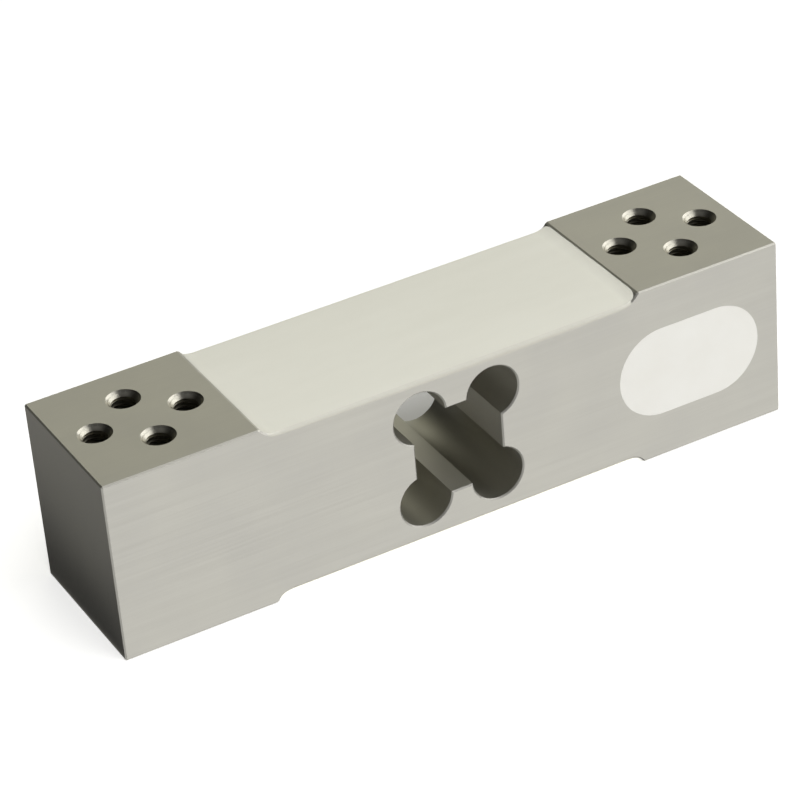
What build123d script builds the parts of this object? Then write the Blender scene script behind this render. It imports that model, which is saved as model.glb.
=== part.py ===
from build123d import *
from math import sqrt
import os

# Parallel beam load cell: a milled aluminium bar with a four-lobed window through its middle.
# Four foil strain gauges sit over the lobes, wired by two flex circuits to a small trimming board
# in a side pocket. White silicone covers the gauges and fills the pocket.
# Millimetres. X runs along the bar, -Y is the face with the pocket, +Z is up, and the origin is
# in the middle of the bar's underside.

# Bar
bar_length = 150.0
bar_width = 35.0
bar_height = 40.0
pad_length = 33.0
recess_depth = 2.0
recess_end_radius = 4.0
edge_break = 0.3

# Window through the bar, which leaves a thin flexure over and under each lobe
window_side = 19.5
lobe_radius = 5.75
lobe_spacing = 16.3
flexure_thickness = 2.75

# Tapped bolt holes, drawn at the thread's nominal radius, in a diamond on each pad
bolt_radius = 3.0
bolt_spacing_along = 19.2
bolt_spacing_across = 15.5
bolt_countersink = 0.5

# Pocket in the side of the bar: it reaches a little under the recess, and a cable inlet leads
# into it from the end face
pocket_lap = 1.5
pocket_height = 20.0
pocket_depth = 5.6
pocket_end_wall = 5.0
inlet_radius = 2.2
inlet_inset = 3.3
seal_wall = 0.6

# Strain gauges: a foil grid on a film carrier
film_thickness = 0.1
foil_thickness = 0.05
grid_turns = 4
strand_length = 3.2
strand_width = 0.2
strand_pitch = 0.36
loop_width = 0.4
neck_length = 0.5
tab_length = 1.5
tab_width = 1.1
tab_spacing = 1.9
film_margin = 0.5
film_corner_radius = 0.3

# Flex circuits, which run from the gauges down a drilled passage to the board, and the jumper
# wires that bridge from the gauge tabs to their pads
head_length = 5.6
flex_width = 2.0
flex_turn_radius = 1.5
flex_bend_radius = 0.4
flex_margin = 0.2
passage_radius = 1.5
jumper_radius = 0.1
solder_thickness = 0.03

# Trimming board on the pocket's floor, with its copper lands and chip resistors
board_length = 19.0
board_height = 15.0
board_thickness = 0.8
board_corner_radius = 1.0
land_length = 2.0
land_inset = 1.6
flex_land_count = 3
flex_land_pitch = 0.65
flex_land_height = 0.4
flex_row_spacing = 4.4
cable_land_count = 4
cable_land_pitch = 3.0
cable_land_height = 1.4
chip_length = 3.2
chip_width = 1.6
chip_thickness = 0.6
chip_cap_length = 0.5
chip_cap_proud = 0.05
chip_spacing_x = 5.0
chip_spacing_z = 5.5

# Silicone coat over the gauges, with a crowned edge along each side of the bar
coat_thickness = 1.1
coat_edge_thickness = 0.2
coat_edge_run = 4.0

# Levels and places that several pieces share
front_y = -bar_width / 2
mid_z = bar_height / 2
top_floor_z = bar_height - recess_depth
foil_z = top_floor_z + film_thickness
foil_top_z = foil_z + foil_thickness
pad_edge_x = bar_length / 2 - pad_length
recess_end_run = sqrt(2 * recess_end_radius * recess_depth - recess_depth**2)
floor_end_x = pad_edge_x - recess_end_run
pad_centre_x = (bar_length - pad_length) / 2
lobe_x = lobe_spacing / 2
lobe_rise = mid_z - recess_depth - flexure_thickness - lobe_radius
pocket_left_x = floor_end_x - pocket_lap
pocket_length = bar_length / 2 - pocket_end_wall - pocket_left_x
pocket_x = pocket_left_x + pocket_length / 2
pocket_floor_y = front_y + pocket_depth
inlet_y = front_y + inlet_inset
passage_x = floor_end_x - flex_margin - flex_width / 2
passage_y = pocket_floor_y - passage_radius
board_face_y = pocket_floor_y - board_thickness
board_left_x = pocket_x - board_length / 2
land_face_y = board_face_y - foil_thickness
land_x = board_left_x + land_inset


def recess_outline(face_z, floor_z):
    """Closed outline of one recess: a flat floor that turns up to the pads in two round ends."""
    floor = Line((-floor_end_x, floor_z), (floor_end_x, floor_z))
    right_end = TangentArc(floor @ 1, (pad_edge_x, face_z), tangent=floor % 1)
    left_end = TangentArc(floor @ 0, (-pad_edge_x, face_z), tangent=-(floor % 0))
    Line(left_end @ 1, right_end @ 1)


def mirrored_below(piece):
    """The like piece in the lower recess: the upper one mirrored about the bar's middle."""
    with BuildPart() as lower:
        mirror(piece.part, about=Plane.XY.offset(mid_z))
    return lower


# Bar: side profile with both recesses and the window, milled through its whole width
with BuildPart() as bar:
    with BuildSketch(Plane.XZ):
        with Locations((0, mid_z)):
            Rectangle(bar_length, bar_height)
        for face_z, floor_z in ((bar_height, top_floor_z), (0, recess_depth)):
            with BuildLine():
                recess_outline(face_z, floor_z)
            make_face(mode=Mode.SUBTRACT)
    extrude(amount=bar_width / 2, both=True)
    with BuildSketch(Plane.XZ):
        with Locations((0, mid_z)):
            Rectangle(window_side, window_side)
            with GridLocations(lobe_spacing, 2 * lobe_rise, 2, 2):
                Circle(lobe_radius)
    extrude(amount=bar_width / 2, both=True, mode=Mode.SUBTRACT)

    # Every outer edge and the window's rims are broken with a small chamfer
    side_faces = bar.faces().filter_by(Axis.Y).sort_by(Axis.Y)
    cross_edges = bar.edges().filter_by(Axis.Y).group_by(Axis.Z)
    chamfer(
        side_faces[0].edges() + side_faces[-1].edges() + cross_edges[0] + cross_edges[-1],
        length=edge_break,
    )

    # Through holes for the mounting bolts, countersunk at both mouths
    with BuildSketch(Plane.XY):
        with GridLocations(2 * pad_centre_x, 0, 2, 1):
            with GridLocations(bolt_spacing_along, 0, 2, 1):
                Circle(bolt_radius)
            with GridLocations(0, bolt_spacing_across, 1, 2):
                Circle(bolt_radius)
    extrude(amount=bar_height, mode=Mode.SUBTRACT)
    mouths = bar.edges().filter_by(GeomType.CIRCLE).filter_by(lambda edge: edge.radius == bolt_radius)
    chamfer(mouths, length=bolt_countersink)

    # Pocket, cable inlet, and the passage drilled from recess to recess across the pocket's end
    with BuildSketch(Plane.XZ.offset(-front_y)) as pocket_outline:
        with Locations((pocket_x, mid_z)):
            SlotOverall(pocket_length, pocket_height)
    extrude(amount=-pocket_depth, mode=Mode.SUBTRACT)
    with BuildSketch(Plane.YZ.offset(bar_length / 2)):
        with Locations((inlet_y, mid_z)):
            Circle(inlet_radius)
    extrude(amount=-(pocket_end_wall + inlet_radius), mode=Mode.SUBTRACT)
    with BuildSketch(Plane.XY):
        with Locations((passage_x, passage_y)):
            Circle(passage_radius)
    extrude(amount=bar_height, mode=Mode.SUBTRACT)

pieces = {"beam": bar}

# Strain gauges: a serpentine foil grid with two solder tabs, on a film bonded over each lobe.
# The grid is centred on its lobe and the tabs point to the middle of the bar.
grid_end_x = strand_length / 2 + loop_width
grid_width = (2 * grid_turns - 1) * strand_pitch + strand_width
tab_x = grid_end_x + neck_length + tab_length / 2
film_length = 2 * grid_end_x + neck_length + tab_length + 2 * film_margin
film_width = max(grid_width, tab_spacing + tab_width) + 2 * film_margin
film_shift = (neck_length + tab_length) / 2

for end, side in (("left", -1), ("right", 1)):
    with BuildPart() as film:
        with BuildSketch(Plane.XY.offset(top_floor_z)):
            with Locations((side * (lobe_x - film_shift), 0)):
                RectangleRounded(film_length, film_width, film_corner_radius)
        extrude(amount=film_thickness)
    pieces[f"top_{end}_gauge_film"] = film

    with BuildPart() as foil:
        with BuildSketch(Plane.XY.offset(foil_z)):
            with Locations((side * lobe_x, 0)):
                with GridLocations(0, strand_pitch, 1, 2 * grid_turns):
                    Rectangle(strand_length, strand_width)
            # Outer loops join the strands in pairs, and inner loops join one pair to the next
            for loop_side, loops in ((side, grid_turns), (-side, grid_turns - 1)):
                with Locations((side * lobe_x + loop_side * (grid_end_x - loop_width / 2), 0)):
                    with GridLocations(0, 2 * strand_pitch, 1, loops):
                        Rectangle(loop_width, strand_pitch + strand_width)
            # The two outermost strands run on to the tabs
            with Locations((side * (lobe_x - tab_x), 0)):
                with GridLocations(0, tab_spacing, 1, 2):
                    Rectangle(tab_length, tab_width)
            for tab_side in (-1, 1):
                Polygon(
                    (side * (lobe_x - strand_length / 2), tab_side * grid_width / 2),
                    (side * (lobe_x - grid_end_x - neck_length), tab_side * (tab_spacing + tab_width) / 2),
                    (side * (lobe_x - grid_end_x - neck_length), tab_side * (tab_spacing - tab_width) / 2),
                    (side * (lobe_x - strand_length / 2), tab_side * (grid_width / 2 - strand_width)),
                    align=None,
                )
        extrude(amount=foil_thickness)
    pieces[f"top_{end}_gauge_foil"] = foil

# Flex circuit: a head with four pads between the gauges, and a tail that runs to the end of the
# recess floor, bends down the passage, and turns in the pocket to lie on the board's lands
flex_y = land_face_y - film_thickness / 2
stub_y = flex_y + 2 * flex_bend_radius
lane_y = stub_y + flex_width
row_z = mid_z + flex_row_spacing / 2
drop_end_z = row_z + flex_width
with BuildPart() as flex:
    with BuildSketch(Plane.XY.offset(top_floor_z)):
        with BuildLine():
            FilletPolyline(
                (0, 0),
                (0, lane_y),
                (passage_x, lane_y),
                (passage_x, stub_y),
                radius=flex_turn_radius,
            )
        trace(line_width=flex_width)
        RectangleRounded(head_length, film_width, film_corner_radius)
    extrude(amount=film_thickness)
    with BuildSketch(Plane.YZ.offset(passage_x)):
        with BuildLine():
            FilletPolyline(
                (stub_y, top_floor_z + film_thickness / 2),
                (flex_y, top_floor_z + film_thickness / 2),
                (flex_y, drop_end_z),
                radius=flex_bend_radius,
            )
        trace(line_width=film_thickness)
    extrude(amount=flex_width / 2, both=True)
    with BuildSketch(Plane.XZ.offset(-land_face_y)):
        with BuildLine():
            FilletPolyline(
                (passage_x, drop_end_z),
                (passage_x, row_z),
                (land_x + land_length / 2, row_z),
                radius=flex_turn_radius,
            )
        trace(line_width=flex_width)
    extrude(amount=film_thickness)
pieces["top_flex_circuit"] = flex

pad_x = (head_length - tab_length) / 2 - film_margin
with BuildPart() as pads:
    with BuildSketch(Plane.XY.offset(foil_z)):
        with GridLocations(2 * pad_x, tab_spacing, 2, 2):
            Rectangle(tab_length, tab_width)
    extrude(amount=foil_thickness)
pieces["top_flex_pads"] = pads

# Jumpers: a fine wire from the middle of each gauge tab to the middle of its pad, held off both
# by its solder
with BuildPart() as jumpers:
    for side in (-1, 1):
        with BuildSketch(Plane.YZ.offset(side * pad_x)):
            with Locations((0, foil_top_z + solder_thickness + jumper_radius)):
                with GridLocations(tab_spacing, 0, 2, 1):
                    Circle(jumper_radius)
        extrude(amount=side * (lobe_x - tab_x - pad_x))
pieces["top_jumpers"] = jumpers

# The lower recess holds the same gauges, flex circuit and jumpers, mirrored
for name in list(pieces):
    if name.startswith("top_"):
        pieces[name.replace("top_", "bottom_")] = mirrored_below(pieces[name])

# Trimming board: lands for the two flex tails at one end, lands for the cable at the other, and
# four chip resistors between them
with BuildPart() as board:
    with BuildSketch(Plane.XZ.offset(-pocket_floor_y)):
        with Locations((pocket_x, mid_z)):
            RectangleRounded(board_length, board_height, board_corner_radius)
    extrude(amount=board_thickness)
pieces["trimming_board"] = board

board_plane = Plane.XZ.offset(-board_face_y)
with BuildPart() as lands:
    with BuildSketch(board_plane):
        with Locations((land_x, row_z), (land_x, 2 * mid_z - row_z)):
            with GridLocations(0, flex_land_pitch, 1, flex_land_count):
                Rectangle(land_length, flex_land_height)
        with Locations((board_left_x + board_length - land_inset, mid_z)):
            with GridLocations(0, cable_land_pitch, 1, cable_land_count):
                Rectangle(land_length, cable_land_height)
    extrude(amount=foil_thickness)
pieces["board_lands"] = lands

chip_places = [(x, z) for x in (-1, 1) for z in (-1, 1)]
for index, (side_x, side_z) in enumerate(chip_places):
    chip_x = pocket_x + side_x * chip_spacing_x / 2
    chip_z = mid_z + side_z * chip_spacing_z / 2
    with BuildPart() as chip:
        with BuildSketch(board_plane):
            with Locations((chip_x, chip_z)):
                Rectangle(chip_length, chip_width)
        extrude(amount=chip_thickness)
        with BuildSketch(board_plane):
            with Locations((chip_x, chip_z)):
                with GridLocations(chip_length - chip_cap_length, 0, 2, 1):
                    Rectangle(chip_cap_length, chip_width + 2 * chip_cap_proud)
        extrude(amount=chip_thickness + chip_cap_proud)
    pieces[f"trim_resistor_{index + 1}"] = chip

# Inlet seal: a rubber sleeve in the end wall, where the cable enters
with BuildPart() as seal:
    with BuildSketch(Plane.YZ.offset(bar_length / 2)):
        with Locations((inlet_y, mid_z)):
            Circle(inlet_radius)
            Circle(inlet_radius - seal_wall, mode=Mode.SUBTRACT)
    extrude(amount=-pocket_end_wall)
pieces["inlet_seal"] = seal

# Potting: silicone poured round the board and the flex tails, flush with the front face
with BuildPart() as potting:
    extrude(pocket_outline.sketch, amount=-pocket_depth)
    for name in pieces:
        if "flex_circuit" in name or "board" in name or "resistor" in name:
            add(pieces[name].part, mode=Mode.SUBTRACT)
pieces["pocket_potting"] = potting

# Coat: silicone brushed over the recess from end to end, set around all that lies there
coat_half_width = bar_width / 2 - edge_break
coat_edge_z = top_floor_z + coat_edge_thickness
with BuildPart() as coat:
    with BuildSketch(Plane.XZ):
        with BuildLine():
            recess_outline(bar_height, top_floor_z)
        make_face()
    extrude(amount=coat_half_width, both=True)
    with BuildSketch(Plane.YZ):
        with BuildLine():
            crown_half_width = coat_half_width - coat_edge_run
            crown_z = top_floor_z + coat_thickness
            crown = Line((-crown_half_width, crown_z), (crown_half_width, crown_z))
            TangentArc(crown @ 1, (coat_half_width, coat_edge_z), tangent=crown % 1)
            TangentArc(crown @ 0, (-coat_half_width, coat_edge_z), tangent=-(crown % 0))
            Polyline(
                (-coat_half_width, coat_edge_z),
                (-coat_half_width, top_floor_z),
                (coat_half_width, top_floor_z),
                (coat_half_width, coat_edge_z),
            )
        make_face()
    extrude(amount=pad_edge_x, both=True, mode=Mode.INTERSECT)
    for name in pieces:
        if name.startswith("top_"):
            add(pieces[name].part, mode=Mode.SUBTRACT)
pieces["top_coat"] = coat
pieces["bottom_coat"] = mirrored_below(coat)

os.makedirs("parts", exist_ok=True)
for name, piece in pieces.items():
    piece.part.label = name
    export_step(piece.part, f"parts/{name}.step")
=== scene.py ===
from math import pi, radians

import bmesh
import bpy
import numpy as np
from mathutils import Matrix, Vector


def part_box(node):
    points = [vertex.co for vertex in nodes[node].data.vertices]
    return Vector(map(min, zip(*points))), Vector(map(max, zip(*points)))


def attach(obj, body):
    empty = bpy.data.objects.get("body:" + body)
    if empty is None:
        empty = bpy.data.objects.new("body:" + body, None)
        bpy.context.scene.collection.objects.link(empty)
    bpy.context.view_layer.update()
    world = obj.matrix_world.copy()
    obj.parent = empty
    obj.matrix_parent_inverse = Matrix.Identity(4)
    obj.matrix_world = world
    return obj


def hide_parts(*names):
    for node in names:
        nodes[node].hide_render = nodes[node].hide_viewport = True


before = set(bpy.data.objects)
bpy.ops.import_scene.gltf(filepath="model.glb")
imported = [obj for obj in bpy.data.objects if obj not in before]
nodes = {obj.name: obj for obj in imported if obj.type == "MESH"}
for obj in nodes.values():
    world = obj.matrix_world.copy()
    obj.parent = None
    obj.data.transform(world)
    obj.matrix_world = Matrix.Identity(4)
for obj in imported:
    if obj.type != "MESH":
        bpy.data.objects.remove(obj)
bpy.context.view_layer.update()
mm = 0.001


# Beam: one bar of aluminium, milled all over, drilled, tapped and clear anodised. Its edges are
# broken by hand tool, and a painted highlight makes each a fine bright line. The CAD solid has its
# whole shape, so it stays and only gets its finish, with painted shade in the window's bores.
def linear(hex_colour):
    """Linear RGBA of an sRGB hex colour: each channel goes through the sRGB curve."""
    channels = np.array([int(hex_colour[i:i + 2], 16) for i in (1, 3, 5)]) / 255
    curve = np.where(channels <= 0.04045, channels / 12.92, ((channels + 0.055) / 1.055) ** 2.4)
    return (*curve, 1.0)


def add_node(tree, kind, inputs, **settings):
    """Adds a node: settings are its properties, and inputs its sockets' values or what feeds them."""
    node = tree.nodes.new("ShaderNode" + kind)
    for name, value in settings.items():
        setattr(node, name, value)
    for name, value in inputs.items():
        if isinstance(value, bpy.types.NodeSocket):
            tree.links.new(value, node.inputs[name])
        else:
            node.inputs[name].default_value = value
    return node


def new_material(name):
    """A material with a plain Principled shader. Returns it with its tree, its shader and its Object
    coordinates."""
    material = bpy.data.materials.new(name)
    material.use_nodes = True
    tree = material.node_tree
    shader = tree.nodes["Principled BSDF"]
    place = add_node(tree, "TexCoord", {}).outputs["Object"]
    return material, tree, shader, place


def give(material, *names):
    """Puts one material on CAD nodes, in every slot that they have."""
    for name in names:
        mesh = nodes[name].data
        mesh.materials.clear()
        mesh.materials.append(material)


# Milled aluminium, bead-dulled and clear anodised: a soft satin grey with a faint cloudy tone and
# fine cutter lines along the bar. The lines are really 0.05 mm apart, and drawn at 0.3 mm to show.
aluminium, tree, shader, place = new_material("milled_anodised_aluminium")
cloud = add_node(
    tree, "TexNoise", {"Vector": place, "Scale": 1 / (14 * mm), "Detail": 3.0, "Roughness": 0.5}
)
tone = add_node(
    tree,
    "Mix",
    {"Factor": cloud.outputs["Fac"], "A": linear("#D3D1CB"), "B": linear("#DDDBD2")},
    data_type="RGBA",
)
# Painted shade: the window's four bores are drawn a darker grey inside. A point is on one where it
# lies within the bore's radius, and a hair more, of the nearest bore's axis
beam_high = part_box("beam")[1]
bar_height = beam_high.z
bore_radius = 5.76 * mm
bore_out = 8.15 * mm
bore_up = 9.5 * mm
from_centre = add_node(tree, "VectorMath", {0: place, 1: (0, 0, bar_height / 2)}, operation="SUBTRACT")
one_eighth = add_node(tree, "VectorMath", {0: from_centre.outputs["Vector"]}, operation="ABSOLUTE")
from_axis = add_node(
    tree, "VectorMath", {0: one_eighth.outputs["Vector"], 1: (bore_out, 0, bore_up)}, operation="SUBTRACT"
)
across_axis = add_node(
    tree, "VectorMath", {0: from_axis.outputs["Vector"], 1: (1, 0, 1)}, operation="MULTIPLY"
)
radius = add_node(tree, "VectorMath", {0: across_axis.outputs["Vector"]}, operation="LENGTH")
in_bore = add_node(tree, "Math", {0: radius.outputs["Value"], 1: bore_radius}, operation="LESS_THAN")
painted_bore_shade = add_node(
    tree,
    "Mix",
    {"Factor": in_bore.outputs["Value"], "A": tone.outputs["Result"], "B": linear("#C0BEB4")},
    data_type="RGBA",
)
# Painted highlight along the broken edges: a point is on one where it lies within the break of two
# faces of the bar at once, so that two of three signs are plus
edge_break = 0.3 * mm
inner_corner = (beam_high.x - edge_break, beam_high.y - edge_break, bar_height / 2 - edge_break)
past_corner = add_node(
    tree, "VectorMath", {0: one_eighth.outputs["Vector"], 1: inner_corner}, operation="SUBTRACT"
)
signs = add_node(tree, "VectorMath", {0: past_corner.outputs["Vector"]}, operation="SIGN")
sum_of_signs = add_node(
    tree, "VectorMath", {0: signs.outputs["Vector"], 1: (1, 1, 1)}, operation="DOT_PRODUCT"
)
painted_edge_highlight = add_node(tree, "Math", {0: sum_of_signs.outputs["Value"], 1: 0.0}, operation="GREATER_THAN")
tone_with_painted_light = add_node(
    tree,
    "Mix",
    {"Factor": painted_edge_highlight.outputs["Value"], "A": painted_bore_shade.outputs["Result"], "B": linear("#F1EFE6")},
    data_type="RGBA",
)
stretched = add_node(tree, "Mapping", {"Vector": place, "Scale": (0.01, 1.0, 1.0)})
lines = add_node(
    tree,
    "TexNoise",
    {"Vector": stretched.outputs["Vector"], "Scale": 1 / (0.3 * mm), "Detail": 2.0, "Roughness": 0.6},
)
dulling = add_node(
    tree,
    "MapRange",
    {"Value": lines.outputs["Fac"], "From Min": 0.3, "From Max": 0.7, "To Min": 0.56, "To Max": 0.61},
)
relief = add_node(tree, "Bump", {"Height": lines.outputs["Fac"], "Strength": 0.05, "Distance": 0.02 * mm})
tree.links.new(tone_with_painted_light.outputs["Result"], shader.inputs["Base Color"])
tree.links.new(dulling.outputs["Result"], shader.inputs["Roughness"])
tree.links.new(relief.outputs["Normal"], shader.inputs["Normal"])
shader.inputs["Metallic"].default_value = 1.0
give(aluminium, "beam")


# Bolt threads: M6 x 1 threads cut in the eight holes of the pads, right through the bar, with a
# lead-in cone at each mouth. The CAD has plain bores at the thread's nominal size, so the ridges
# between the turns are drawn here.
def surface(name, points):
    """Mesh of a grid of points whose columns close on themselves: each cell between neighbouring rows
    and columns is one quad. Doubles are merged, open ends filled and normals turned outwards."""
    rows, columns = points.shape[:2]
    index = np.arange(rows * columns).reshape(rows, columns)
    after = np.roll(index, -1, axis=1)
    quads = np.stack([index[:-1], after[:-1], after[1:], index[1:]], axis=-1).reshape(-1, 4)
    mesh = bpy.data.meshes.new(name)
    mesh.from_pydata(points.reshape(-1, 3), [], quads.tolist())
    shape = bmesh.new()
    shape.from_mesh(mesh)
    bmesh.ops.remove_doubles(shape, verts=shape.verts, dist=1e-7)
    open_edges = [edge for edge in shape.edges if edge.is_boundary]
    bmesh.ops.holes_fill(shape, edges=open_edges, sides=0)
    bmesh.ops.recalc_face_normals(shape, faces=shape.faces)
    shape.to_mesh(mesh)
    shape.free()
    return mesh


def piece_of(mesh, material, smooth_below=30):
    """A piece that rides on the beam: edges flatter than the angle are shaded smooth."""
    mesh.shade_smooth()
    mesh.set_sharp_from_angle(angle=radians(smooth_below))
    mesh.materials.append(material)
    piece = bpy.data.objects.new(mesh.name, mesh)
    bpy.context.scene.collection.objects.link(piece)
    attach(piece, "root")
    return piece


thread_pitch = 1.0 * mm
thread_root = 3.0 * mm
thread_crest = 2.46 * mm
thread_set_in = 0.04 * mm
thread_end_gap = 0.4 * mm
root_share = 7 / 16
crest_share = 1 / 8
sink_mouth = 3.5 * mm
sink_cover = 0.01 * mm
hole_x = 58.5 * mm
hole_along = 9.6 * mm
hole_across = 7.75 * mm


def thread_points(steps_per_turn=32):
    """Ridge of a thread in a hole about the Z axis: a four-point profile, 7/8 of the pitch wide at its root
    and 1/4 at its crest, climbs one pitch a turn. No point comes inside the cone of either countersink."""
    turns = bar_height / thread_pitch
    angle = np.linspace(0, 2 * pi * turns, int(turns * steps_per_turn) + 1)[:, None]
    slope = (thread_root - thread_crest) / ((root_share - crest_share) * thread_pitch)
    root_half = root_share * thread_pitch + thread_set_in / slope
    crest_half = crest_share * thread_pitch
    offset = np.array([-root_half, -crest_half, crest_half, root_half])
    outermost = thread_root + thread_set_in
    radius = np.array([outermost, thread_crest, thread_crest, outermost])
    level = np.clip(angle / (2 * pi) * thread_pitch + offset, thread_end_gap, bar_height - thread_end_gap)
    depth = np.minimum(level, bar_height - level)
    radius = np.minimum(np.maximum(radius, sink_mouth - depth), outermost)
    return np.stack([radius * np.cos(angle), radius * np.sin(angle), level], axis=-1)


def cone_points(steps_round=64):
    """Lead-in cone of one upper mouth, as a thin closed ring: a four-sided section, spun about the Z axis,
    that lies on the countersink and runs on at its slope to the thread's crest."""
    lead = thread_crest + sink_cover
    outermost = thread_root + thread_set_in
    radius = np.array([sink_mouth - sink_cover, lead, outermost, outermost])
    depth = np.array([0.0, sink_mouth - lead, sink_mouth - lead, sink_mouth - thread_root])
    angle = np.linspace(0, 2 * pi, steps_round + 1)[:, None]
    level = np.broadcast_to(bar_height - depth, (len(angle), len(depth)))
    return np.stack([radius * np.cos(angle), radius * np.sin(angle), level], axis=-1)


# Tapped aluminium, smoother than the faces, with painted light and shade: a painted highlight near
# the mouths, on the lead-in cones, and painted shade further down the holes
painted_highlight_depth = 0.8 * mm
painted_shade_depth = 2 * mm
tapped, tree, shader, place = new_material("tapped_aluminium_painted_light")
spot = add_node(tree, "SeparateXYZ", {"Vector": place})
from_middle = add_node(tree, "Math", {0: spot.outputs["Z"], 1: bar_height / 2}, operation="SUBTRACT")
level = add_node(tree, "Math", {0: from_middle.outputs["Value"]}, operation="ABSOLUTE")
painted_highlight_share = add_node(
    tree,
    "MapRange",
    {
        "Value": level.outputs["Value"],
        "From Min": bar_height / 2 - painted_shade_depth,
        "From Max": bar_height / 2 - painted_highlight_depth,
    },
)
tone = add_node(
    tree,
    "Mix",
    {"Factor": painted_highlight_share.outputs["Result"], "A": linear("#A09C8A"), "B": linear("#C4C1B4")},
    data_type="RGBA",
)
tree.links.new(tone.outputs["Result"], shader.inputs["Base Color"])
shader.inputs["Metallic"].default_value = 1.0
shader.inputs["Roughness"].default_value = 0.34

one_hole = bmesh.new()
upper_cone = cone_points()
lower_cone = upper_cone * (1, 1, -1) + (0, 0, bar_height)
for number, points in enumerate((thread_points(), upper_cone, lower_cone)):
    one_hole.from_mesh(surface(f"thread_part_{number}", points))
hole_mesh = bpy.data.meshes.new("one_thread")
one_hole.to_mesh(hole_mesh)
one_hole.free()
holes = [
    (end * hole_x + x, y, 0)
    for end in (-1, 1)
    for x, y in ((hole_along, 0), (-hole_along, 0), (0, hole_across), (0, -hole_across))
]
every_hole = bmesh.new()
for hole in holes:
    shifted = hole_mesh.copy()
    shifted.transform(Matrix.Translation(hole))
    every_hole.from_mesh(shifted)
thread_mesh = bpy.data.meshes.new("bolt_threads")
every_hole.to_mesh(thread_mesh)
every_hole.free()
piece_of(thread_mesh, tapped)


# Coats: white silicone brushed over the gauges, one in each recess. It lies almost level, wets a
# little way up the round ends of the recess, and thins out towards the bar's sides, where the upper
# coat was drawn over the broken edge and a little way down the face.
recess_depth = 2.0 * mm
recess_floor = bar_height - recess_depth
recess_radius = 4.0 * mm
pad_edge = 42.0 * mm
floor_end = pad_edge - np.sqrt(2 * recess_radius * recess_depth - recess_depth**2)
coat_half_width = 17.2 * mm
coat_thickness = 1.08 * mm
coat_edge_thickness = 0.22 * mm
coat_edge_run = 3.6 * mm
meniscus_height = 0.74 * mm
meniscus_edge = 0.26 * mm
meniscus_run = 2.6 * mm
coat_lean = 0.27 * mm
coat_wave_run = 16 * mm
coat_wave_share = 0.035
spill_drop = 0.45 * mm
spill_bulge = 0.35 * mm
spill_bulge_x = 8 * mm
spill_bulge_run = 20 * mm
spill_waver = 0.06 * mm
spill_waver_run = 30 * mm
spill_film = 0.03 * mm


def gentle_waves(x, y, seed, size, height):
    """Sum of twelve plane waves in random directions, each 0.6 to 2.2 times as long as the size."""
    chance = np.random.default_rng(seed)
    total = np.zeros(np.broadcast(x, y).shape)
    for direction, length, phase in zip(
        chance.uniform(0, 2 * pi, 12), size * chance.uniform(0.6, 2.2, 12), chance.uniform(0, 2 * pi, 12)
    ):
        total += np.sin(2 * pi * (x * np.cos(direction) + y * np.sin(direction)) / length + phase)
    return height * total / np.sqrt(12)


def coat_points(seed, spills, across=96, along=240):
    """Closed section carried along the recess. Over the floor its top is a crown that falls as the cube of
    the way out, and leans a little, because the bar lay tilted while it cured. Near each end it climbs, as
    the square of the way through the meniscus, to a section with round edges, and it runs until it meets
    the recess's round end. Where it spills, it goes on over the bar's broken edge and down the face, as a
    thin film that ends at a wavy line."""
    # Columns that a spill adds past a rim, as shares: the way over the edge's break and down the drop, and
    # how far the film stands off the metal, outwards and upwards
    past_rim = np.array([[0.5, 0.9, 1, 1, 1], [0, 0, 0, 0.5, 1], [0, 0, 1, 1, 0], [1.3, 1.1, 0.3, 0, 0]])
    if not spills:
        past_rim = past_rim[:, :0]
    on_break, on_face, stands_out, stands_up = np.concatenate(
        [past_rim[:, ::-1], np.zeros((4, across)), past_rim], axis=1
    )
    # Points crowd towards the rims, where the section turns
    share = np.pad(np.sin(np.linspace(-1, 1, across) * pi / 2), past_rim.shape[1], mode="edge")
    y = coat_half_width * share
    edge = np.clip((np.abs(y) - (coat_half_width - coat_edge_run)) / coat_edge_run, 0, 1)
    rim = coat_edge_thickness + coat_lean * (1 + share) / 2
    crown = rim + (coat_thickness - rim) * (1 - np.abs(share) ** 3)
    # The round edge of an end's section stops just short of upright at the rim
    end_rim = rim + meniscus_edge
    end_profile = end_rim + (coat_thickness + meniscus_height - end_rim) * np.sqrt(1 - edge**3 * 0.999)
    travel = np.sin(np.linspace(-1, 1, along) * pi / 2)[:, None]
    # A rough place along the recess for the waves, because how far the coat reaches depends on them
    nominal = travel * (floor_end + recess_depth)
    waves = 1 + gentle_waves(nominal, y, seed, coat_wave_run, coat_wave_share)
    end_thickness = end_profile * np.where(travel > 0, waves[-1], waves[0])
    reach = floor_end + np.sqrt(recess_radius**2 - (recess_radius - end_thickness) ** 2)
    x = travel * reach
    near_end = np.clip((np.abs(x) - reach) / meniscus_run + 1, 0, 1)
    thickness = crown * waves + (end_thickness - crown * waves) * near_end**2
    over = np.clip(np.abs(x) - floor_end, 0, recess_radius)
    floor = recess_floor + recess_radius - np.sqrt(recess_radius**2 - over**2)
    top = np.maximum(recess_floor + thickness, floor)
    top[[0, -1]] = floor[[0, -1]]
    # The spill fades out close to the recess's ends
    fade = np.sqrt(1 - np.abs(travel) ** 12)
    bulge = spill_bulge * np.exp(-(((nominal - spill_bulge_x) / spill_bulge_run) ** 2))
    drop = (spill_drop + bulge + gentle_waves(nominal, 0, seed + 1, spill_waver_run, spill_waver)) * fade
    metal = floor - edge_break * on_break - drop * on_face
    top = np.where(on_break > 0, metal + coat_edge_thickness * stands_up * fade, top)
    out = y + np.sign(y) * edge_break * on_break
    film_out = out + np.sign(y) * spill_film * stands_out * fade
    upper = np.stack([x, film_out, top], axis=-1)
    lower = np.stack([x, np.broadcast_to(out, x.shape), metal], axis=-1)
    return np.concatenate([upper, lower[:, ::-1]], axis=1)


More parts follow.
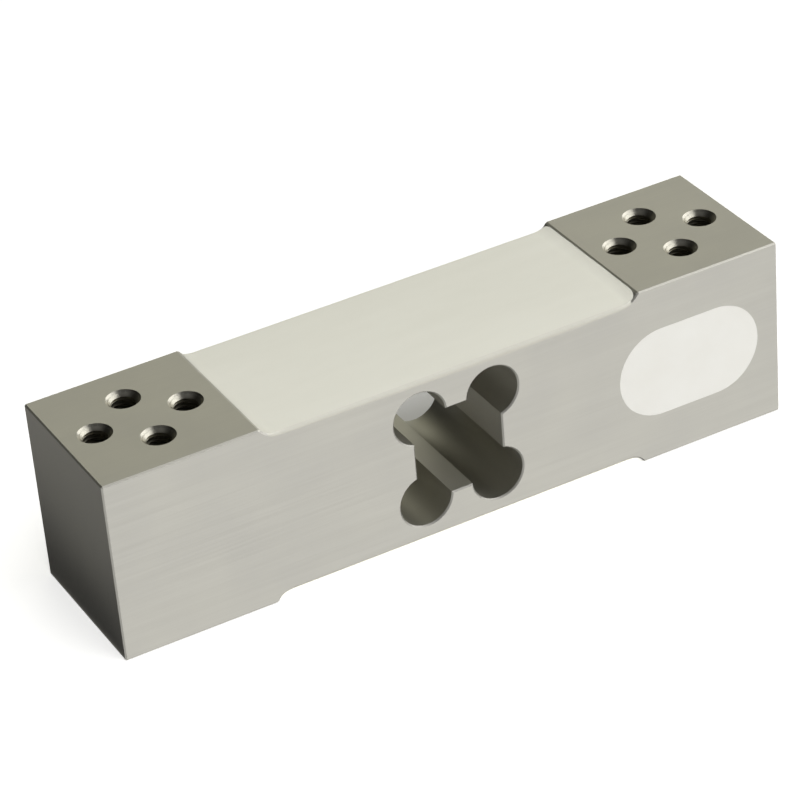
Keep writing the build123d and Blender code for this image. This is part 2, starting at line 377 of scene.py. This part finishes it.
# Cured white silicone, brushed on: soft cream white, satin, with faint streaks along the brush and
# a slight orange-peel skin. Past the rim the film is thin enough for the grey metal to show through.
thin_from = coat_half_width - 0.25 * mm
thin_to = coat_half_width + edge_break
coat_silicone, tree, shader, place = new_material("brushed_white_silicone")
streaked = add_node(tree, "Mapping", {"Vector": place, "Scale": (0.25, 1.0, 1.0)})
tint = add_node(
    tree, "TexNoise", {"Vector": streaked.outputs["Vector"], "Scale": 1 / (6 * mm), "Detail": 3.0}
)
tone = add_node(
    tree,
    "Mix",
    {"Factor": tint.outputs["Fac"], "A": linear("#F0EFE2"), "B": linear("#F8F7EB")},
    data_type="RGBA",
)
spot = add_node(tree, "SeparateXYZ", {"Vector": place})
way_out = add_node(tree, "Math", {0: spot.outputs["Y"]}, operation="ABSOLUTE")
past_rim = add_node(
    tree,
    "MapRange",
    {"Value": way_out.outputs["Value"], "From Min": thin_from, "From Max": thin_to},
)
down_face = add_node(
    tree,
    "MapRange",
    {
        "Value": spot.outputs["Z"],
        "From Min": recess_floor,
        "From Max": recess_floor - edge_break - spill_drop,
        "To Min": 0.75,
    },
)
thinned = add_node(
    tree, "Math", {0: past_rim.outputs["Result"], 1: down_face.outputs["Result"]}, operation="MULTIPLY"
)
rim_tone = add_node(
    tree,
    "Mix",
    {"Factor": thinned.outputs["Value"], "A": tone.outputs["Result"], "B": linear("#CFCCC1")},
    data_type="RGBA",
)
skin = add_node(tree, "TexNoise", {"Vector": place, "Scale": 1 / (0.9 * mm), "Detail": 2.0})
relief = add_node(tree, "Bump", {"Height": skin.outputs["Fac"], "Strength": 0.12, "Distance": 0.05 * mm})
gloss = add_node(
    tree,
    "MapRange",
    {"Value": tint.outputs["Fac"], "From Min": 0.3, "From Max": 0.7, "To Min": 0.42, "To Max": 0.55},
)
tree.links.new(rim_tone.outputs["Result"], shader.inputs["Base Color"])
tree.links.new(gloss.outputs["Result"], shader.inputs["Roughness"])
tree.links.new(relief.outputs["Normal"], shader.inputs["Normal"])
shader.inputs["IOR"].default_value = 1.41

for side, seed in (("top", 5), ("bottom", 9)):
    coat = coat_points(seed, spills=side == "top")
    if side == "bottom":
        coat[..., 2] = bar_height - coat[..., 2]
    piece = piece_of(surface(f"{side}_silicone_coat", coat), coat_silicone, 40)
    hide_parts(f"{side}_coat")


# Gauge films: thin sheets of amber polyimide that carry the foil grids, bonded to the bar over and
# under its four flexures, beneath the coats.
film, tree, shader, place = new_material("rolled_amber_polyimide")
# Cast polyimide film: clear amber and glossy, a little darker where the glue under it is thick
glue = add_node(tree, "TexNoise", {"Vector": place, "Scale": 1 / (1.5 * mm), "Detail": 2.0})
tone = add_node(
    tree,
    "Mix",
    {"Factor": glue.outputs["Fac"], "A": linear("#B8721C"), "B": linear("#D49235")},
    data_type="RGBA",
)
tree.links.new(tone.outputs["Result"], shader.inputs["Base Color"])
shader.inputs["IOR"].default_value = 1.7
shader.inputs["Roughness"].default_value = 0.22
ends_and_sides = [(side, end) for side in ("top", "bottom") for end in ("left", "right")]
give(film, *(f"{side}_{end}_gauge_film" for side, end in ends_and_sides))

# Gauge foils: constantan rolled to a thin foil, bonded to its carrier film and etched to a grid with
# two tabs, to which the jumpers are soldered.
foil, tree, shader, place = new_material("etched_constantan_foil")
# Etched rolled foil: warm nickel grey, satin, with faint rolling lines along the strands
stretched = add_node(tree, "Mapping", {"Vector": place, "Scale": (0.05, 1.0, 1.0)})
rolled = add_node(
    tree, "TexNoise", {"Vector": stretched.outputs["Vector"], "Scale": 1 / (0.05 * mm), "Detail": 1.0}
)
dulling = add_node(
    tree,
    "MapRange",
    {"Value": rolled.outputs["Fac"], "From Min": 0.3, "From Max": 0.7, "To Min": 0.25, "To Max": 0.4},
)
tree.links.new(dulling.outputs["Result"], shader.inputs["Roughness"])
shader.inputs["Base Color"].default_value = linear("#C7BBA8")
shader.inputs["Metallic"].default_value = 1.0
give(foil, *(f"{side}_{end}_gauge_foil" for side, end in ends_and_sides))


# Flex circuits: polyimide strips with copper inside, which run from a head between the gauges down
# the drilled passage to the board. Their cover film is a little darker than the gauges' own.
flex, tree, shader, place = new_material("laminated_flex_circuit")
# Laminated polyimide: glossy brown amber, with the copper tracks inside showing as paler lines
tracks = add_node(tree, "TexNoise", {"Vector": place, "Scale": 1 / (0.7 * mm), "Detail": 0.0})
tone = add_node(
    tree,
    "Mix",
    {"Factor": tracks.outputs["Fac"], "A": linear("#94561A"), "B": linear("#B57428")},
    data_type="RGBA",
)
tree.links.new(tone.outputs["Result"], shader.inputs["Base Color"])
shader.inputs["IOR"].default_value = 1.7
shader.inputs["Roughness"].default_value = 0.25
give(flex, "top_flex_circuit", "bottom_flex_circuit")

# Pads and lands: bare copper foil, etched on the flex circuits' heads and on the board, and tinned
# where the jumpers and the resistors are soldered to it.
copper, tree, shader, place = new_material("etched_tinned_copper")
# Etched copper, half tinned: pinkish metal clouded by silvery solder, satin
wetted = add_node(tree, "TexNoise", {"Vector": place, "Scale": 1 / (0.8 * mm), "Detail": 2.0})
tone = add_node(
    tree,
    "Mix",
    {"Factor": wetted.outputs["Fac"], "A": linear("#C58B66"), "B": linear("#CFC8BE")},
    data_type="RGBA",
)
tree.links.new(tone.outputs["Result"], shader.inputs["Base Color"])
shader.inputs["Metallic"].default_value = 1.0
shader.inputs["Roughness"].default_value = 0.32
give(copper, "top_flex_pads", "bottom_flex_pads", "board_lands")

# Jumpers: fine wires of tinned copper, each bent round a small radius and soldered at one end to a
# gauge's tab and at the other to a flex circuit's pad.
wire, tree, shader, place = new_material("drawn_tinned_wire")
# Drawn copper wire, hot tinned: bright grey, nearly smooth, a little uneven where the tin pooled
pooled = add_node(tree, "TexNoise", {"Vector": place, "Scale": 1 / (0.3 * mm), "Detail": 1.0})
dulling = add_node(
    tree,
    "MapRange",
    {"Value": pooled.outputs["Fac"], "From Min": 0.3, "From Max": 0.7, "To Min": 0.18, "To Max": 0.34},
)
tree.links.new(dulling.outputs["Result"], shader.inputs["Roughness"])
shader.inputs["Base Color"].default_value = linear("#D2D2CE")
shader.inputs["Metallic"].default_value = 1.0
give(wire, "top_jumpers", "bottom_jumpers")


# Trimming board: glass-epoxy laminate with a green solder mask, glued to the side pocket's floor
# beneath the potting.
laminate, tree, shader, place = new_material("masked_glass_epoxy")
# Solder mask over woven glass: deep green, semi-gloss, the weave just showing. The weave is really
# 0.4 mm from thread to thread, and is drawn so: a wave texture has one band in 1/20 of its scale.
weave_scale = 1 / (0.4 * mm) / 20
waves = {"Vector": place, "Scale": weave_scale, "Distortion": 0.4}
weft = add_node(tree, "TexWave", waves, bands_direction="X")
warp = add_node(tree, "TexWave", waves, bands_direction="Z")
weave = add_node(tree, "Math", {0: weft.outputs["Fac"], 1: warp.outputs["Fac"]}, operation="MULTIPLY")
tone = add_node(
    tree,
    "Mix",
    {"Factor": weave.outputs["Value"], "A": linear("#14502C"), "B": linear("#1D6A3B")},
    data_type="RGBA",
)
relief = add_node(tree, "Bump", {"Height": weave.outputs["Value"], "Strength": 0.1, "Distance": 0.02 * mm})
tree.links.new(tone.outputs["Result"], shader.inputs["Base Color"])
tree.links.new(relief.outputs["Normal"], shader.inputs["Normal"])
shader.inputs["IOR"].default_value = 1.55
shader.inputs["Roughness"].default_value = 0.35
give(laminate, "trimming_board")

# Trim resistors: four ceramic chips with plated ends, soldered to the board's lands. Their values are
# picked as the cell is calibrated, to set its zero and span.
chip, tree, shader, place = new_material("fired_ceramic_chip")
# Black glaze on alumina between two tinned end caps: the cap shows where a point lies more than
# 1.1 mm from its chip's middle, and the chips' middles lie 2.5 mm either side of the pocket's
board_low, board_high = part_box("trimming_board")
pocket_x = (board_low.x + board_high.x) / 2
chip_half_spacing = 2.5 * mm
chip_body_half = 1.1 * mm
spot = add_node(tree, "SeparateXYZ", {"Vector": place})
from_pocket = add_node(tree, "Math", {0: spot.outputs["X"], 1: pocket_x}, operation="SUBTRACT")
either_side = add_node(tree, "Math", {0: from_pocket.outputs["Value"]}, operation="ABSOLUTE")
from_chip = add_node(
    tree, "Math", {0: either_side.outputs["Value"], 1: chip_half_spacing}, operation="SUBTRACT"
)
chip_side = add_node(tree, "Math", {0: from_chip.outputs["Value"]}, operation="ABSOLUTE")
cap = add_node(tree, "Math", {0: chip_side.outputs["Value"], 1: chip_body_half}, operation="GREATER_THAN")
tone = add_node(
    tree,
    "Mix",
    {"Factor": cap.outputs["Value"], "A": linear("#1B1B1D"), "B": linear("#CFCFCB")},
    data_type="RGBA",
)
tree.links.new(tone.outputs["Result"], shader.inputs["Base Color"])
tree.links.new(cap.outputs["Value"], shader.inputs["Metallic"])
shader.inputs["Roughness"].default_value = 0.3
give(chip, *(f"trim_resistor_{number}" for number in range(1, 5)))


# Potting: white silicone poured over the board, which fills the side pocket flush with the bar's
# face. It clings to the pocket's rim and sinks a little in the middle as it cures.
potting_low, potting_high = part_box("pocket_potting")
pocket_radius = (potting_high.z - potting_low.z) / 2
pocket_half_run = (potting_high.x - potting_low.x) / 2 - pocket_radius
pocket_z = (potting_high.z + potting_low.z) / 2
potting_sink = 0.12 * mm
potting_gap = 0.01 * mm
potting_rim_depth = 0.5 * mm
potting_wave_run = 9 * mm
potting_wave_height = 0.03 * mm


def potting_points(steps_round=96, steps_run=34, steps_out=40):
    """Section carried round a slot: from the middle line out to the rim over a shallow dish, which rises as
    the sixth power of the way out, back along the wall to the pocket's floor, and in again to the middle
    line. Each line leaves the middle line at the place from which the rim is square to it."""
    quarters = np.linspace(-pi / 2, pi / 2, steps_round // 2)
    run = np.linspace(pocket_half_run, -pocket_half_run, steps_run)[1:-1]
    heading = np.concatenate(
        [quarters, np.full(len(run), pi / 2), quarters + pi, np.full(len(run), 3 * pi / 2)]
    )
    middle = np.concatenate(
        [np.full(len(quarters), pocket_half_run), run, np.full(len(quarters), -pocket_half_run), run[::-1]]
    )
    out = np.sin(np.linspace(0, pi / 2, steps_out))
    rim = pocket_radius - potting_gap
    dish = potting_low.y + potting_sink * (1 - out**6)
    radius = np.concatenate([out * rim, [rim, rim], [rim / 2, 0]])
    depth = np.concatenate([dish, [potting_low.y + potting_rim_depth], [potting_high.y] * 3])
    x = pocket_x + middle + radius[:, None] * np.cos(heading)
    z = pocket_z + radius[:, None] * np.sin(heading)
    wave = gentle_waves(x, z, 3, potting_wave_run, potting_wave_height)
    wave = np.abs(wave) * np.clip(1 - radius[:, None] / rim, 0, 1)
    wave[steps_out:] = 0
    return np.stack([x, depth[:, None] + wave, z], axis=-1)


# Poured silicone: whiter and smoother than the brushed coat, satin, faintly clouded
potting_silicone, tree, shader, place = new_material("poured_white_silicone")
tint = add_node(tree, "TexNoise", {"Vector": place, "Scale": 1 / (8 * mm), "Detail": 2.0})
tone = add_node(
    tree,
    "Mix",
    {"Factor": tint.outputs["Fac"], "A": linear("#ECEAE3"), "B": linear("#F2F1EC")},
    data_type="RGBA",
)
skin = add_node(tree, "TexNoise", {"Vector": place, "Scale": 1 / (1.6 * mm), "Detail": 1.0})
relief = add_node(tree, "Bump", {"Height": skin.outputs["Fac"], "Strength": 0.08, "Distance": 0.04 * mm})
tree.links.new(tone.outputs["Result"], shader.inputs["Base Color"])
tree.links.new(relief.outputs["Normal"], shader.inputs["Normal"])
shader.inputs["IOR"].default_value = 1.41
shader.inputs["Roughness"].default_value = 0.4
piece = piece_of(surface("pocket_silicone", potting_points()), potting_silicone, 40)
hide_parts("pocket_potting")


# Inlet seal: a moulded rubber sleeve pressed into the end wall, with rounded lips, where the cable
# enters the pocket.
seal_low, seal_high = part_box("inlet_seal")
seal_y = (seal_low.y + seal_high.y) / 2
seal_z = (seal_low.z + seal_high.z) / 2
seal_outer = (seal_high.y - seal_low.y) / 2
seal_wall = 0.6 * mm
seal_bore = seal_outer - seal_wall
seal_lip = 0.2 * mm


def seal_points(steps_round=64, steps_corner=8):
    """A rectangular section with its four corners rounded, spun about the inlet's axis."""
    turn = np.linspace(0, pi / 2, steps_corner)[:, None] + np.arange(4) * pi / 2
    right, left = seal_high.x - seal_lip, seal_low.x + seal_lip
    outer, inner = seal_outer - seal_lip, seal_bore + seal_lip
    x = (np.array([right, left, left, right]) + seal_lip * np.cos(turn)).T.ravel()
    radius = (np.array([outer, outer, inner, inner]) + seal_lip * np.sin(turn)).T.ravel()
    angle = np.linspace(0, 2 * pi, steps_round + 1)[:, None]
    x = np.broadcast_to(x, (len(angle), len(x)))
    return np.stack([x, seal_y + radius * np.cos(angle), seal_z + radius * np.sin(angle)], axis=-1)


# Moulded nitrile rubber: near black, matt, with a fine bloom
rubber, tree, shader, place = new_material("moulded_black_rubber")
bloom = add_node(tree, "TexNoise", {"Vector": place, "Scale": 1 / (0.5 * mm), "Detail": 3.0})
tone = add_node(
    tree,
    "Mix",
    {"Factor": bloom.outputs["Fac"], "A": linear("#1C1C1C"), "B": linear("#2B2B2A")},
    data_type="RGBA",
)
tree.links.new(tone.outputs["Result"], shader.inputs["Base Color"])
shader.inputs["IOR"].default_value = 1.52
shader.inputs["Roughness"].default_value = 0.62
piece = piece_of(surface("rubber_inlet_seal", seal_points()), rubber, 40)
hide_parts("inlet_seal")


# Floor: a wide sheet of matt white card that the cell lies on. Metal doesn't mirror it, so that the
# bar's faces take their tones from the studio round it.
card, tree, shader, place = new_material("matt_white_card")
fibre = add_node(tree, "TexNoise", {"Vector": place, "Scale": 1 / (2 * mm), "Detail": 2.0})
tone = add_node(
    tree,
    "Mix",
    {"Factor": fibre.outputs["Fac"], "A": linear("#F4F4F2"), "B": linear("#F7F7F5")},
    data_type="RGBA",
)
tree.links.new(tone.outputs["Result"], shader.inputs["Base Color"])
shader.inputs["Roughness"].default_value = 0.9
shader.inputs["Emission Color"].default_value = linear("#FFFFFF")
# The card glows a little, but for a soft oval pool of shade behind the bar that its window looks on
shade_middle = (16 * mm, 34 * mm, 0.0)
shade_narrowing = 0.4
shade_inner = 20 * mm
shade_outer = 60 * mm
shade_glow = 0.045
card_glow = 0.5
pool = add_node(
    tree,
    "Mapping",
    {"Vector": place, "Location": shade_middle, "Scale": (1.0, shade_narrowing, 1.0)},
    vector_type="TEXTURE",
)
away = add_node(tree, "VectorMath", {0: pool.outputs["Vector"]}, operation="LENGTH")
glow = add_node(
    tree,
    "MapRange",
    {
        "Value": away.outputs["Value"],
        "From Min": shade_inner,
        "From Max": shade_outer,
        "To Min": shade_glow,
        "To Max": card_glow,
    },
    interpolation_type="SMOOTHSTEP",
)
tree.links.new(glow.outputs["Result"], shader.inputs["Emission Strength"])
floor_half = 3.0
floor_mesh = bpy.data.meshes.new("studio_floor")
floor_corners = ((-1, -1), (1, -1), (1, 1), (-1, 1))
floor_mesh.from_pydata([(x * floor_half, y * floor_half, 0) for x, y in floor_corners], [], [(0, 1, 2, 3)])
floor_mesh.materials.append(card)
floor = bpy.data.objects.new("studio_floor", floor_mesh)
bpy.context.scene.collection.objects.link(floor)
floor.visible_glossy = False
floor.visible_shadow = False

# Studio: a dim room with six broad pale patches. Each lobe is a direction, how tightly the patch
# gathers round it, its colour and its strength. The first three are what the front, the top and the
# left end mirror in the photograph's view, and the rest light the faces that other sides show.
lobes = (
    ((0.378, -0.753, -0.538), 6.0, "#FFFFFD", 1.47),
    ((0.378, 0.753, 0.538), 10.0, "#FFFEEA", 0.97),
    ((-0.378, 0.753, -0.538), 8.0, "#FFFEF8", 0.33),
    ((-0.64, -0.64, -0.42), 5.0, "#FFFFFF", 0.7),
    ((0.64, 0.64, -0.42), 6.0, "#FFFFFF", 0.6),
    ((-0.64, -0.64, 0.42), 5.0, "#FFFFFF", 0.2),
)
world = bpy.data.worlds.new("studio")
bpy.context.scene.world = world
world.use_nodes = True
tree = world.node_tree
facing = add_node(tree, "TexCoord", {}).outputs["Generated"]
patches = []
for direction, tightness, colour, strength in lobes:
    towards = Vector(direction).normalized()
    aligned = add_node(tree, "VectorMath", {0: facing, 1: towards}, operation="DOT_PRODUCT")
    positive = add_node(tree, "Math", {0: aligned.outputs["Value"], 1: 0.0}, operation="MAXIMUM")
    gathered = add_node(tree, "Math", {0: positive.outputs["Value"], 1: tightness}, operation="POWER")
    amount = add_node(tree, "Math", {0: gathered.outputs["Value"], 1: strength}, operation="MULTIPLY")
    patch = {0: linear(colour)[:3], "Scale": amount.outputs["Value"]}
    patches.append(add_node(tree, "VectorMath", patch, operation="SCALE").outputs["Vector"])
room = patches[0]
for patch in patches[1:]:
    room = add_node(tree, "VectorMath", {0: room, 1: patch}, operation="ADD").outputs["Vector"]
tree.links.new(room, tree.nodes["Background"].inputs["Color"])


def softbox(name, direction, distance, size, power, for_matt):
    """A square area light that faces the middle of the bar from a direction. It lights either what is
    matt or what is glossy, as a flag in front of it would let it."""
    lamp = bpy.data.lights.new(name, "AREA")
    lamp.size = size
    lamp.energy = power
    obj = bpy.data.objects.new(name, lamp)
    towards = Vector(direction).normalized()
    obj.location = towards * distance + Vector((0, 0, bar_height / 2))
    obj.rotation_euler = towards.to_track_quat("Z", "Y").to_euler()
    obj.visible_camera = False
    obj.visible_diffuse = for_matt
    obj.visible_glossy = not for_matt
    bpy.context.scene.collection.objects.link(obj)


softbox("front_softbox", (0.0, -0.38, 0.92), distance=1.2, size=0.9, power=11.0, for_matt=True)
softbox("key_softbox", (0.55, -0.6, 0.58), distance=1.1, size=0.7, power=2.6, for_matt=False)
softbox("right_softbox", (0.9, -0.02, 0.4), distance=2.5, size=2.0, power=25.0, for_matt=False)

# Flag: a painted shadow, a strip of black card on the bench beside the left end, out of the camera's
# sight, that metal mirrors in place of the shaded floor there, which deepens the foot of that end face
flag_mesh = bpy.data.meshes.new("painted_shadow_flag")
left, right, near, far, up = (-92 * mm, -75.5 * mm, -17.5 * mm, 60 * mm, 0.1 * mm)
flag_corners = ((left, near), (right, near), (right, far), (left, far))
flag_mesh.from_pydata([(x, y, up) for x, y in flag_corners], [], [(0, 1, 2, 3)])
black, tree, shader, place = new_material("painted_shadow_card")
shader.inputs["Base Color"].default_value = linear("#202020")
flag_mesh.materials.append(black)
flag = bpy.data.objects.new("painted_shadow_flag", flag_mesh)
bpy.context.scene.collection.objects.link(flag)
flag.visible_camera = False
flag.visible_diffuse = False
flag.visible_shadow = False

# Camera: the photograph's own view, found from the bar's corners in it. The place is in millimetres,
# and right, down and forward are the picture's own axes.
camera_data = bpy.data.cameras.new("camera")
camera_data.sensor_width = 36.0
camera_data.lens = 156.44
camera_data.clip_start = 0.01
camera_data.clip_end = 20.0
camera = bpy.data.objects.new("camera", camera_data)
right = Vector((0.8692505, -0.48898393, -0.07278927))
down = Vector((-0.31803383, -0.44037734, -0.8395965))
forward = Vector((0.37849445, 0.75296913, -0.53831166))
turned = Matrix((right, -down, -forward)).transposed().to_4x4()
camera.matrix_world = Matrix.Translation(Vector((-264.15, -518.86, 393.87)) * mm) @ turned
bpy.context.scene.collection.objects.link(camera)
bpy.context.scene.camera = camera

# Colours come out as they are lit, without a film curve
bpy.context.scene.view_settings.view_transform = "Standard"
